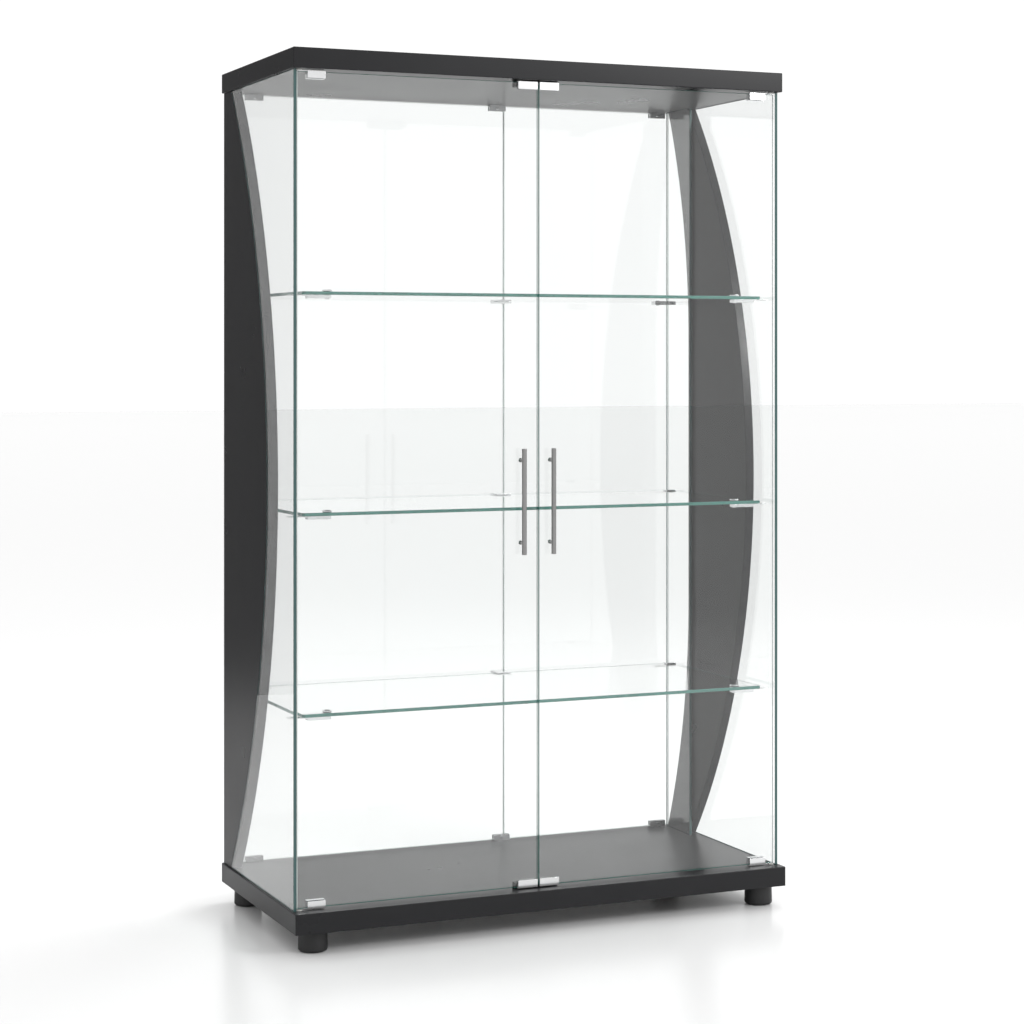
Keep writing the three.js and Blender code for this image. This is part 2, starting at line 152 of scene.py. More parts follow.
floor_paint = bpy.data.materials.new("pale_floor")
floor_paint.use_nodes = True
floor_shader = floor_paint.node_tree.nodes["Principled BSDF"]
floor_shader.inputs["Base Color"].default_value = (floor_tone, floor_tone, floor_tone, 1)
floor_shader.inputs["Roughness"].default_value = 0.22
floor_shader.inputs["Specular IOR Level"].default_value = 0.25
floor_mesh.materials.append(floor_paint)
studio_floor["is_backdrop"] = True


# ---------------------------------------------------------------------------------------------
# Base and top boards. Thick fibreboard panels in satin black foil. Each is one block with
# rounded edges, so that the edges catch the light. The side boards stand between them.

board_ease = 0.0016


def effect_group(name, inputs, outputs):
    group = bpy.data.node_groups.new(name, "ShaderNodeTree")
    for label, kind, value in inputs:
        socket = group.interface.new_socket(label, in_out="INPUT", socket_type=kind)
        socket.default_value = value
    for label, kind in outputs:
        group.interface.new_socket(label, in_out="OUTPUT", socket_type=kind)
    start = group.nodes.new("NodeGroupInput")
    end = group.nodes.new("NodeGroupOutput")
    return group, start, end


def node(tree, kind, **settings):
    made = tree.nodes.new(kind)
    for key, value in settings.items():
        if key in made.inputs:
            made.inputs[key].default_value = value
        else:
            setattr(made, key, value)
    return made


def fine_mottle_group():
    """A cloudy mask and a fine-grained height, both in the piece's own coordinates."""
    group, start, end = effect_group(
        "fine_mottle",
        [
            ("Cloud Scale", "NodeSocketFloat", 6.0),
            ("Grain Scale", "NodeSocketFloat", 900.0),
            ("Stretch", "NodeSocketVector", (1, 1, 1)),
        ],
        [("Cloud", "NodeSocketFloat"), ("Grain", "NodeSocketFloat")],
    )
    place = node(group, "ShaderNodeTexCoord")
    stretch = node(group, "ShaderNodeVectorMath", operation="MULTIPLY")
    cloud = node(group, "ShaderNodeTexNoise", Detail=4.0, Roughness=0.6)
    grain = node(group, "ShaderNodeTexNoise", Detail=3.0, Roughness=0.7)
    links = group.links
    links.new(place.outputs["Object"], stretch.inputs[0])
    links.new(start.outputs["Stretch"], stretch.inputs[1])
    links.new(place.outputs["Object"], cloud.inputs["Vector"])
    links.new(start.outputs["Cloud Scale"], cloud.inputs["Scale"])
    links.new(stretch.outputs["Vector"], grain.inputs["Vector"])
    links.new(start.outputs["Grain Scale"], grain.inputs["Scale"])
    links.new(cloud.outputs["Fac"], end.inputs["Cloud"])
    links.new(grain.outputs["Fac"], end.inputs["Grain"])
    return group


def edge_wear_and_sheen_group():
    """A broken mask along the eased edges, polished by handling and given a painted highlight."""
    group, start, end = effect_group(
        "edge_wear_and_sheen",
        [("Reach", "NodeSocketFloat", 0.56), ("Breakup Scale", "NodeSocketFloat", 60.0)],
        [("Mask", "NodeSocketFloat")],
    )
    shape = node(group, "ShaderNodeNewGeometry")
    place = node(group, "ShaderNodeTexCoord")
    noise = node(group, "ShaderNodeTexNoise", Detail=3.0)
    sharp = node(group, "ShaderNodeMapRange")
    sharp.inputs["To Min"].default_value = 0.0
    sharp.inputs["To Max"].default_value = 1.0
    sharp.inputs["From Max"].default_value = 0.72
    broken = node(group, "ShaderNodeMath", operation="MULTIPLY")
    links = group.links
    links.new(shape.outputs["Pointiness"], sharp.inputs["Value"])
    links.new(start.outputs["Reach"], sharp.inputs["From Min"])
    links.new(place.outputs["Object"], noise.inputs["Vector"])
    links.new(start.outputs["Breakup Scale"], noise.inputs["Scale"])
    links.new(sharp.outputs["Result"], broken.inputs[0])
    links.new(noise.outputs["Fac"], broken.inputs[1])
    links.new(broken.outputs["Value"], end.inputs["Mask"])
    return group


fine_mottle = fine_mottle_group()
edge_wear_and_sheen = edge_wear_and_sheen_group()


def layered_finish(
    name, tone, tone_spread, rough, rough_spread, grain, clouds=6.0, wear_and_sheen=0.35, wear_and_sheen_tone=None
):
    """An opaque finish: cloudy colour and roughness, a fine surface grain, rubbed edges with a
    painted highlight.
    """
    finish = bpy.data.materials.new(name)
    finish.use_nodes = True
    tree = finish.node_tree
    shader = tree.nodes["Principled BSDF"]
    grain_scale, grain_depth, stretch = grain
    mottle = node(tree, "ShaderNodeGroup", node_tree=fine_mottle)
    mottle.inputs["Cloud Scale"].default_value = clouds
    mottle.inputs["Grain Scale"].default_value = grain_scale
    mottle.inputs["Stretch"].default_value = stretch
    edges = node(tree, "ShaderNodeGroup", node_tree=edge_wear_and_sheen)
    dark = [c * (1 - tone_spread) for c in tone] + [1]
    light = [c * (1 + tone_spread) for c in tone] + [1]
    colour = node(tree, "ShaderNodeMix", data_type="RGBA")
    colour.inputs["A"].default_value = dark
    colour.inputs["B"].default_value = light
    # The eased edges turn lighter: wear from handling, and a painted highlight.
    worn_and_sheened = node(tree, "ShaderNodeMix", data_type="RGBA")
    worn_and_sheened.inputs["B"].default_value = list(wear_and_sheen_tone or [min(1, c * 2.2) for c in tone]) + [1]
    wear_and_sheen_amount = node(tree, "ShaderNodeMath", operation="MULTIPLY")
    wear_and_sheen_amount.inputs[1].default_value = wear_and_sheen
    rough_range = node(tree, "ShaderNodeMapRange")
    rough_range.inputs["To Min"].default_value = rough - rough_spread
    rough_range.inputs["To Max"].default_value = rough + rough_spread
    bump = node(tree, "ShaderNodeBump", Strength=1.0, Distance=grain_depth)
    links = tree.links
    links.new(mottle.outputs["Cloud"], colour.inputs["Factor"])
    links.new(edges.outputs["Mask"], wear_and_sheen_amount.inputs[0])
    links.new(wear_and_sheen_amount.outputs["Value"], worn_and_sheened.inputs["Factor"])
    links.new(colour.outputs["Result"], worn_and_sheened.inputs["A"])
    links.new(worn_and_sheened.outputs["Result"], shader.inputs["Base Color"])
    links.new(mottle.outputs["Cloud"], rough_range.inputs["Value"])
    links.new(rough_range.outputs["Result"], shader.inputs["Roughness"])
    links.new(mottle.outputs["Grain"], bump.inputs["Height"])
    links.new(bump.outputs["Normal"], shader.inputs["Normal"])
    return finish, shader


satin_black, satin_black_shader = layered_finish(
    "satin_black_foil",
    tone=(0.0165, 0.0165, 0.0178),
    tone_spread=0.14,
    rough=0.29,
    rough_spread=0.05,
    grain=(700.0, 0.000004, (1.0, 1.0, 0.25)),
)
satin_black_shader.inputs["Specular IOR Level"].default_value = 0.15


sharp_angle = math.radians(35)
weld_distance = 1e-6


def make_piece(bm, name, finishes, body, slot, *nodes, flat=False):
    """Turns a finished bmesh into an object that rides on a body and stands for CAD nodes."""
    bmesh.ops.remove_doubles(bm, verts=bm.verts, dist=weld_distance)
    bmesh.ops.recalc_face_normals(bm, faces=bm.faces)
    if not flat:
        for face in bm.faces:
            face.smooth = True
        for edge in bm.edges:
            edge.smooth = edge.calc_face_angle(0) < sharp_angle
    mesh = bpy.data.meshes.new(name)
    bm.to_mesh(mesh)
    bm.free()
    for finish in finishes:
        mesh.materials.append(finish)
    piece = bpy.data.objects.new(name, mesh)
    bpy.context.scene.collection.objects.link(piece)
    if not flat:
        even = piece.modifiers.new("even_shading", "WEIGHTED_NORMAL")
        even.keep_sharp = True
    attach(piece, body)
    if nodes:
        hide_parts(*nodes)
    return piece


def block(low, high):
    """A plain block between two corners."""
    bm = bmesh.new()
    low, high = Vector(low), Vector(high)
    bmesh.ops.create_cube(bm, size=1)
    bmesh.ops.scale(bm, vec=high - low, verts=bm.verts)
    bmesh.ops.translate(bm, vec=(low + high) / 2, verts=bm.verts)
    return bm


def ease_edges(bm, width, segments=3, edges=None):
    bmesh.ops.bevel(
        bm,
        geom=list(edges or bm.edges),
        offset=width,
        offset_type="OFFSET",
        affect="EDGES",
        segments=segments,
        profile=0.5,
        material=-1,
    )


for board_node in ("base_panel", "top_panel"):
    board = block(*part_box(board_node))
    ease_edges(board, board_ease)
    label = board_node.replace("panel", "board")
    make_piece(board, label, [satin_black], "carcass", "satin_black_board", board_node)


# ---------------------------------------------------------------------------------------------
# Feet. Moulded black plastic cups screwed up under the base, each with a collar at the top, a
# rounded skirt and a felt glide let into the underside.

foot_plastic, _ = layered_finish(
    "moulded_black_plastic",
    tone=(0.004, 0.004, 0.0045),
    tone_spread=0.12,
    rough=0.52,
    rough_spread=0.06,
    grain=(2200.0, 0.00004, (1.0, 1.0, 1.0)),
    clouds=20.0,
)
felt, _ = layered_finish(
    "grey_felt",
    tone=(0.06, 0.058, 0.055),
    tone_spread=0.3,
    rough=0.95,
    rough_spread=0.03,
    grain=(1600.0, 0.0003, (1.0, 1.0, 1.0)),
    clouds=120.0,
)


def turned(profile, centre, steps=48, axis=(0, 0, 1)):
    """A profile of radius and height spun into a solid, turned to an axis and moved into place."""
    bm = bmesh.new()
    points = [bm.verts.new((r, 0, h)) for r, h in profile]
    lines = [bm.edges.new(pair) for pair in zip(points, points[1:])]
    bmesh.ops.spin(
        bm,
        geom=points + lines,
        cent=(0, 0, 0),
        axis=(0, 0, 1),
        angle=math.tau,
        steps=steps,
        use_merge=True,
    )
    bmesh.ops.remove_doubles(bm, verts=bm.verts, dist=weld_distance)
    facing = Vector((0, 0, 1)).rotation_difference(Vector(axis)).to_matrix()
    bmesh.ops.rotate(bm, cent=(0, 0, 0), matrix=facing, verts=bm.verts)
    bmesh.ops.translate(bm, vec=centre, verts=bm.verts)
    return bm


def rounded_corner(r, h, radius, quarter, steps=5):
    """Points of a quarter round about the centre (r, h), from the quarter's start to its end."""
    angles = [math.radians(quarter + 90 * i / steps) for i in range(steps + 1)]
    return [(r + radius * math.cos(a), h + radius * math.sin(a)) for a in angles]


skirt_round = 0.0045
collar_round = 0.0012
collar_foot = 0.0048
groove_foot = 0.0065
groove_depth = 0.0006
cup_floor = 0.001
glide_inset = 0.0128
glide_bevel = 0.0012
glide_thickness = 0.0009

for place in ("front_left", "front_right", "rear_left", "rear_right"):
    low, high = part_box("foot_" + place)
    middle = (Vector(low) + Vector(high)) / 2
    radius = (high[0] - low[0]) / 2
    height = high[2] - low[2]
    skirt = rounded_corner(radius - skirt_round, cup_floor + skirt_round, skirt_round, -90)
    collar = rounded_corner(radius - collar_round, height - 0.0032, collar_round, 0)
    groove = radius - groove_depth
    neck = [(groove, height - groove_foot), (groove, height - collar_foot)]
    neck.append((radius, height - collar_foot + 0.0004))
    cup = [(0, cup_floor), (radius - 0.012, cup_floor)] + skirt + neck + collar
    cup += [(radius - 0.004, height), (0, height)]
    foot = turned(cup, (middle.x, middle.y, low[2]), steps=72)
    label = "foot_cup_" + place
    make_piece(foot, label, [foot_plastic], "carcass", "foot_plastic", "foot_" + place)
    rim = radius - glide_inset
    glide = [(0, 0.0), (rim - glide_bevel, 0.0), (rim, 0.0006), (rim, glide_thickness)]
    glide.append((0, glide_thickness))
    pad = turned(glide, (middle.x, middle.y, low[2]), steps=48)
    make_piece(pad, "felt_glide_" + place, [felt], "carcass", "foot_plastic")


# ---------------------------------------------------------------------------------------------
# Side boards. Shaped fibreboard in the same black foil, with a front edge that bulges forward
# at mid height and a rabbet down its outer side for the side glass. They stand on the base board
# and carry the top one. The right board is also drawn in at the back.

board_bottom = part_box("side_board_left")[0][2]
board_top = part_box("side_board_left")[1][2]
cabinet_front = packed_low.y
half_rise = (board_top - board_bottom) / 2
mid_height = (board_top + board_bottom) / 2
rabbet_depth = 0.011
rabbet_slack = 0.0003
foil_ease = 0.0009
arc_steps = 96
left_front_middle, left_front_end = 0.177, 0.4095
right_front_middle, right_front_end = 0.110, 0.358
right_rear_depth = 0.350
right_rear_radius = 1.3
right_rear_straight_low, right_rear_straight_high = 0.563, 1.110


def arc_depth(middle, end, z):
    """How far back an edge lies at a height, on an arc through its middle and its two ends."""
    rise = end - middle
    radius = (half_rise**2 + rise**2) / (2 * rise)
    return middle + radius - math.sqrt(radius**2 - (z - mid_height) ** 2)


def left_front(z):
    return arc_depth(left_front_middle, left_front_end, z)


def right_front(z):
    return arc_depth(right_front_middle, right_front_end, z)


def left_rear(z):
    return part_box("side_board_left")[1][1] - cabinet_front


def right_rear(z):
    beyond = max(0, z - right_rear_straight_high, right_rear_straight_low - z)
    drop = math.sqrt(right_rear_radius**2 - beyond**2)
    return right_rear_depth + right_rear_radius - drop


def board_heights():
    return [board_bottom + (board_top - board_bottom) * i / arc_steps for i in range(arc_steps + 1)]


def shaped_board(outer_x, rabbet_x, inner_x, front, rear):
    """A board from its two curved edges, stepped back at the outer side of its front edge."""
    bm = bmesh.new()
    columns = []
    steps = [(outer_x, rabbet_depth), (rabbet_x, rabbet_depth), (rabbet_x, 0), (inner_x, 0)]
    for z in board_heights():
        section = [bm.verts.new((x, cabinet_front + front(z) + d, z)) for x, d in steps]
        section += [bm.verts.new((x, cabinet_front + rear(z), z)) for x in (inner_x, outer_x)]
        columns.append(section)
    for lower, upper in zip(columns, columns[1:]):
        for i in range(len(lower)):
            j = (i + 1) % len(lower)
            bm.faces.new((lower[i], lower[j], upper[j], upper[i]))
    bm.faces.new(columns[0])
    bm.faces.new(columns[-1])
    bmesh.ops.recalc_face_normals(bm, faces=bm.faces)
    corners = {0, 2, 3, 4, 5}
    long_edges = []
    for lower, upper in zip(columns, columns[1:]):
        long_edges += [bm.edges.get((lower[i], upper[i])) for i in corners]
    ease_edges(bm, foil_ease, 2, long_edges)
    return bm


for side, sign, front, rear in (
    ("left", -1, left_front, left_rear),
    ("right", 1, right_front, right_rear),
):
    low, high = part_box("side_board_" + side)
    pane_low, pane_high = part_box("side_glass_" + side)
    if sign < 0:
        board = shaped_board(low[0], pane_high[0] + rabbet_slack, high[0], front, rear)
    else:
        board = shaped_board(high[0], pane_low[0] - rabbet_slack, low[0], front, rear)
    label = "curved_board_" + side
    make_piece(board, label, [satin_black], "carcass", "satin_black_board", "side_board_" + side)


# ---------------------------------------------------------------------------------------------
# Fixed glass. Clear tempered panes with polished edges and a small flat arris, which stand in
# clips or rabbets. The length of glass behind an edge makes the edge deep green. A paler copy of
# that green paints light on the back panes' edges, and a darker copy paints shade on the side
# and corner panes' edges.

clear_glass = bpy.data.materials.new("clear_tempered_glass")
clear_glass.use_nodes = True
glass_tree = clear_glass.node_tree
glass_shader = glass_tree.nodes["Principled BSDF"]
glass_shader.inputs["Base Color"].default_value = (0.962, 0.972, 0.969, 1)
glass_shader.inputs["Roughness"].default_value = 0.0
glass_shader.inputs["IOR"].default_value = 1.5
glass_shader.inputs["Transmission Weight"].default_value = 1.0
glass_place = node(glass_tree, "ShaderNodeTexCoord")
glass_wave = node(glass_tree, "ShaderNodeTexNoise", Scale=2.2, Detail=0.0)
glass_tree.links.new(glass_place.outputs["Object"], glass_wave.inputs["Vector"])
glass_bump = node(glass_tree, "ShaderNodeBump", Strength=0.12, Distance=0.0002)
glass_tree.links.new(glass_wave.outputs["Fac"], glass_bump.inputs["Height"])
glass_tree.links.new(glass_bump.outputs["Normal"], glass_shader.inputs["Normal"])
glass_pass = node(glass_tree, "ShaderNodeBsdfTransparent")
glass_pass.inputs["Color"].default_value = (0.95, 0.96, 0.957, 1)
glass_path = node(glass_tree, "ShaderNodeLightPath")
glass_mix = node(glass_tree, "ShaderNodeMixShader")
glass_out = glass_tree.nodes["Material Output"]
glass_tree.links.new(glass_path.outputs["Is Shadow Ray"], glass_mix.inputs["Fac"])
glass_tree.links.new(glass_shader.outputs["BSDF"], glass_mix.inputs[1])
glass_tree.links.new(glass_pass.outputs["BSDF"], glass_mix.inputs[2])
glass_tree.links.new(glass_mix.outputs["Shader"], glass_out.inputs["Surface"])

# Its lighter arris colour is a painted highlight.
green_edge, _ = layered_finish(
    "polished_glass_edge",
    tone=(0.042, 0.155, 0.128),
    tone_spread=0.22,
    rough=0.10,
    rough_spread=0.04,
    grain=(500.0, 0.000003, (1.0, 1.0, 1.0)),
    clouds=14.0,
    wear_and_sheen=0.25,
    wear_and_sheen_tone=(0.16, 0.36, 0.31),
)
# A paler copy of the green edge colour: painted light.
lit_edge_paint, _ = layered_finish(
    "painted_light_glass_edge",
    tone=(0.76, 0.82, 0.80),
    tone_spread=0.06,
    rough=0.12,
    rough_spread=0.04,
    grain=(500.0, 0.000003, (1.0, 1.0, 1.0)),
    clouds=14.0,
    wear_and_sheen=0.2,
    wear_and_sheen_tone=(0.85, 0.89, 0.88),
)
# A darker copy of the green edge colour: painted shade.
shaded_edge_paint, _ = layered_finish(
    "painted_shade_glass_edge",
    tone=(0.034, 0.078, 0.076),
    tone_spread=0.20,
    rough=0.10,
    rough_spread=0.04,
    grain=(500.0, 0.000003, (1.0, 1.0, 1.0)),
    clouds=14.0,
    wear_and_sheen=0.25,
    wear_and_sheen_tone=(0.10, 0.20, 0.19),
)
arris = 0.0005
hole_sides = 28
pane_rabbet_gap = 0.001


def sheet_of_glass(outline, holes, low, high, axis):
    """A sheet cut to an outline, drilled, with its rims eased. The axis runs through the sheet."""
    bm = bmesh.new()

    def place(u, v):
        point = [u, v]
        point.insert(axis, low)
        return bm.verts.new(point)

    rims = []
    rings = [outline]
    for (u, v), radius in holes:
        turns = [math.tau * i / hole_sides for i in range(hole_sides)]
        rings.append([(u + radius * math.cos(a), v + radius * math.sin(a)) for a in turns])
    for ring in rings:
        points = [place(u, v) for u, v in ring]
        rims += [bm.edges.new((points[i - 1], points[i])) for i in range(len(points))]
    if holes:
        bmesh.ops.triangle_fill(bm, edges=rims, use_beauty=True)
    else:
        bmesh.ops.contextual_create(bm, geom=rims)
    raised = bmesh.ops.extrude_face_region(bm, geom=list(bm.faces))["geom"]
    moved = [g for g in raised if isinstance(g, bmesh.types.BMVert)]
    push = [0, 0, 0]
    push[axis] = high - low
    bmesh.ops.translate(bm, vec=push, verts=moved)
    bmesh.ops.recalc_face_normals(bm, faces=bm.faces)
    bm.normal_update()
    across = [f for f in bm.faces if abs(f.normal[axis]) < 0.5]

    def lies_flat(edge):
        return abs(edge.verts[0].co[axis] - edge.verts[1].co[axis]) < 1e-7

    rim_edges = {e for f in across for e in f.edges if lies_flat(e)}
    ease_edges(bm, arris, 1, rim_edges)
    bmesh.ops.recalc_face_normals(bm, faces=bm.faces)
    bm.normal_update()
    for face in bm.faces:
        face.material_index = 0 if abs(face.normal[axis]) > 0.9 else 1
    return bm


def oblong(low_u, low_v, high_u, high_v):
    return [(low_u, low_v), (high_u, low_v), (high_u, high_v), (low_u, high_v)]


def add_pane(bm, name, body, node_name, edge=green_edge):
    make_piece(bm, name, [clear_glass, edge], body, "clear_glass", node_name, flat=True)


for side in ("left", "right"):
    low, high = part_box("back_glass_" + side)
    pane = sheet_of_glass(oblong(low[0], low[2], high[0], high[2]), [], low[1], high[1], 1)
    add_pane(pane, "back_pane_" + side, "carcass", "back_glass_" + side, lit_edge_paint)

low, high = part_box("corner_glass_right")
pane = sheet_of_glass(oblong(low[1], low[2], high[1], high[2]), [], low[0], high[0], 0)
add_pane(pane, "corner_pane_right", "carcass", "corner_glass_right", shaded_edge_paint)

for side, front in (("left", left_front), ("right", right_front)):
    low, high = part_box("side_glass_" + side)
    tongue = rabbet_depth - pane_rabbet_gap
    outline = [(low[1], high[2]), (low[1], low[2])]
    outline += [(cabinet_front + front(z) + tongue, z) for z in board_heights()]
    pane = sheet_of_glass(outline, [], low[0], high[0], 0)
    add_pane(pane, "side_pane_" + side, "carcass", "side_glass_" + side, shaded_edge_paint)


# ---------------------------------------------------------------------------------------------
# Shelves. Sheets of the same glass with polished edges, eased front corners, a step at each
# rear corner that clears the rear fittings, and a hole near each front corner for its clamp.

clamp_x = 0.420
clamp_y = cabinet_front + 0.064
clamp_hole = 0.0034
shelf_cut = 0.004
rear_step_y = cabinet_front + 0.336
rear_step = 0.010

for level in ("lower", "middle", "upper"):
    low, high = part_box("shelf_" + level)
    right = [
        (high[0] - shelf_cut, low[1]),
        (high[0], low[1] + shelf_cut),
        (high[0], rear_step_y),
        (high[0] - rear_step, rear_step_y),
        (high[0] - rear_step, high[1]),
    ]
    left = [(-x, y) for x, y in reversed(right)]
    holes = [((-clamp_x, clamp_y), clamp_hole), ((clamp_x, clamp_y), clamp_hole)]
    shelf = sheet_of_glass(right + left, holes, low[2], high[2], 2)
    add_pane(shelf, "glass_shelf_" + level, "carcass", "shelf_" + level)


# ---------------------------------------------------------------------------------------------
# Doors. Two tempered leaves of the same glass, each drilled twice for its handle screws. They
# hang on the pivot hinges at their outer corners.

handle_hole = 0.0032
post_heights = (0.7245, 0.8785)

for side in ("left", "right"):
    low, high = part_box("door_glass_" + side)
    bar_low, bar_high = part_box("handle_" + side)
    bar_x = (bar_low[0] + bar_high[0]) / 2
    holes = [((bar_x, z), handle_hole) for z in post_heights]
    leaf = sheet_of_glass(oblong(low[0], low[2], high[0], high[2]), holes, low[1], high[1], 1)
    # The hinge-side edge of each door takes the paler copy, which is painted light.
    hinge_side = low[0] if side == "left" else high[0]
    for face in leaf.faces:
        if face.material_index == 1 and abs(face.calc_center_median().x - hinge_side) < 2 * arris:
            face.material_index = 2
    finishes = [clear_glass, green_edge, lit_edge_paint]
    body = side + "_door"
    label = "door_pane_" + side
    make_piece(leaf, label, finishes, body, "clear_glass", "door_glass_" + side, flat=True)


# ---------------------------------------------------------------------------------------------
# Pivot hinges. At each outer corner a bent metal clamp grips the glass with grub screws, and
# its pin turns in a flanged bush that is pressed into the board, on a pale nylon washer.

# Its lighter eased edges are partly wear and partly a painted highlight.
satin_metal, satin_metal_shader = layered_finish(
    "satin_nickel",
    tone=(0.68, 0.685, 0.69),
    tone_spread=0.05,
    rough=0.17,
    rough_spread=0.05,
    grain=(900.0, 0.0000035, (0.05, 1.0, 1.0)),
    clouds=30.0,
    wear_and_sheen=0.2,
    wear_and_sheen_tone=(0.84, 0.84, 0.85),
)
satin_metal_shader.inputs["Metallic"].default_value = 1.0
nylon, _ = layered_finish(
    "pale_nylon",
    tone=(0.62, 0.62, 0.58),
    tone_spread=0.06,
    rough=0.42,
    rough_spread=0.05,
    grain=(1500.0, 0.00003, (1.0, 1.0, 1.0)),
    clouds=40.0,
    wear_and_sheen_tone=(0.7, 0.7, 0.66),
)
fold_ease = 0.00022


def stacked_blocks(xs, ys, zs, filled, ease=fold_ease, segments=2):
    """One closed shape from the filled cells between grid lines, with its edges eased."""
    bm = bmesh.new()
    spans = [len(xs) - 1, len(ys) - 1, len(zs) - 1]

    def inside(cell):
        return all(0 <= c < n for c, n in zip(cell, spans)) and filled(*cell)

    lines = (xs, ys, zs)
    for i in range(spans[0]):
        for j in range(spans[1]):
            for k in range(spans[2]):
                if not inside((i, j, k)):
                    continue
                for axis in range(3):
                    for step in (0, 1):
                        beyond = [i, j, k]
                        beyond[axis] += 2 * step - 1
                        if inside(tuple(beyond)):
                            continue
                        u, v = [a for a in range(3) if a != axis]
                        ring = []
                        for du, dv in ((0, 0), (1, 0), (1, 1), (0, 1)):
                            corner = [0, 0, 0]
                            corner[axis] = lines[axis][(i, j, k)[axis] + step]
                            corner[u] = lines[u][(i, j, k)[u] + du]
                            corner[v] = lines[v][(i, j, k)[v] + dv]
                            ring.append(bm.verts.new(corner))
                        bm.faces.new(ring)
    bmesh.ops.remove_doubles(bm, verts=bm.verts, dist=weld_distance)
    bmesh.ops.recalc_face_normals(bm, faces=bm.faces)
    bmesh.ops.dissolve_limit(bm, angle_limit=0.01, verts=bm.verts, edges=bm.edges)
    ease_edges(bm, ease, segments)
    return bm


head_sides = 24
socket_sides = 6


def ring_of(bm, radius, height, count):
    points = []
    for i in range(count):
        angle = math.tau * i / count
        points.append(bm.verts.new((radius * math.cos(angle), radius * math.sin(angle), height)))
    return [bm.edges.new((points[i - 1], points[i])) for i in range(count)], points


def socket_screw(radius, height, socket, centre, axis):
    """A screw head with a rounded rim and a six-sided socket, facing along an axis."""
    bm = bmesh.new()
    rim = radius * 0.18
    shoulder = rim * 0.3
    socket_floor = height * 0.35
    rings = [(radius, 0, head_sides), (radius, height - rim, head_sides)]
    rings += [(radius - shoulder, height - shoulder, head_sides), (radius - rim, height, head_sides)]
    rings += [(socket, height, socket_sides), (socket, socket_floor, socket_sides)]
    made = [ring_of(bm, *ring) for ring in rings]
    for (lower, _), (upper, _) in zip(made, made[1:]):
        bmesh.ops.bridge_loops(bm, edges=lower + upper)
    bm.faces.new(made[0][1])
    bm.faces.new(made[-1][1])
    facing = Vector((0, 0, 1)).rotation_difference(Vector(axis)).to_matrix()
    bmesh.ops.rotate(bm, cent=(0, 0, 0), matrix=facing, verts=bm.verts)
    bmesh.ops.translate(bm, vec=centre, verts=bm.verts)
    return bm


hinge_wall = 0.0019
hinge_tip_gap = 0.001
hinge_tongue_end = 0.018
hinge_screws = (0.027, 0.043)
grub_radius = 0.0032
pin_bevel = 0.0005
bush_bore = 0.0029
bush_radius = 0.0058
bush_height = 0.0005
washer_bore = 0.0028
washer_radius = 0.005
washer_foot = 0.0007
washer_top = 0.0015
door_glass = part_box("door_glass_left")
door_front, door_back = door_glass[0][1], door_glass[1][1]
grip_gap = 0.0003
levels = {"top": -1, "bottom": 1}

for side, sign in (("left", -1), ("right", 1)):
    body = side + "_door"
    for level, up in levels.items():
        low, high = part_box("hinge_clamp_" + side + "_" + level)
        place = side + "_" + level
        outer_x = high[0] if sign > 0 else low[0]
        plate_x = outer_x - sign * hinge_tongue_end
        xs = [low[0], plate_x, high[0]]
        body_face = door_back + grip_gap
        ys = [low[1], low[1] + hinge_wall, door_front, door_back, body_face, high[1]]
        if up > 0:
            zs = [low[2], low[2] + hinge_wall, high[2] - hinge_tip_gap, high[2]]
        else:
            zs = [low[2], low[2] + hinge_tip_gap, high[2] - hinge_wall, high[2]]
        web_row = 0 if up > 0 else 2
        tip_row = 2 - web_row
        tongue_column = 1 if sign > 0 else 0

        def clamp_cell(i, j, k):
            if i == tongue_column:
                return k == web_row and j == 2
            if k == web_row:
                return True
            return j > 3 or (j == 0 and k != tip_row)

        clamp = stacked_blocks(xs, ys, zs, clamp_cell)
        label = "clamp_" + place
        make_piece(clamp, label, [satin_metal], body, "satin_metal", "hinge_clamp_" + place)

        middle_z = (low[2] + high[2]) / 2 + up * hinge_wall / 2
        for number, reach in enumerate(hinge_screws, 1):
            spot = (outer_x - sign * reach, high[1] - 0.0002, middle_z)
            grub = socket_screw(grub_radius, 0.0012, 0.0016, spot, (0, 1, 0))
            make_piece(grub, f"grub_screw_{place}_{number}", [satin_metal], body, "satin_metal")

        pin_low, pin_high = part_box("hinge_pin_" + place)
        pin_x = (pin_low[0] + pin_high[0]) / 2
        pin_y = (pin_low[1] + pin_high[1]) / 2
        radius = (pin_high[0] - pin_low[0]) / 2
        length = pin_high[2] - pin_low[2]
        profile = [(0, 0), (radius - pin_bevel, 0), (radius, pin_bevel)]
        profile += [(radius, length - pin_bevel), (radius - pin_bevel, length), (0, length)]
        pin = turned(profile, (pin_x, pin_y, pin_low[2]), steps=28)
        make_piece(pin, "pin_" + place, [satin_metal], body, "satin_metal", "hinge_pin_" + place)

        board_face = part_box("base_panel")[1][2] if up > 0 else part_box("top_panel")[0][2]
        flange = [(bush_bore, 0), (bush_radius - 0.0003, 0), (bush_radius, 0.0002)]
        flange += [(bush_radius, bush_height - 0.0001), (bush_radius - 0.0002, bush_height)]
        flange += [(bush_bore, bush_height), (bush_bore, 0)]
        bush = turned(flange, (pin_x, pin_y, board_face), steps=32, axis=(0, 0, up))
        make_piece(bush, "pivot_bush_" + place, [satin_metal], "carcass", "satin_metal")
        ring = [(washer_bore, washer_foot), (washer_radius - 0.0002, washer_foot)]
        ring += [(washer_radius, washer_foot + 0.0002), (washer_radius, washer_top - 0.0002)]
        ring += [(washer_radius - 0.0002, washer_top), (washer_bore, washer_top)]
        ring.append((washer_bore, washer_foot))
        washer = turned(ring, (pin_x, pin_y, board_face), steps=32, axis=(0, 0, up))
        make_piece(washer, "washer_" + place, [nylon], body, "satin_metal")


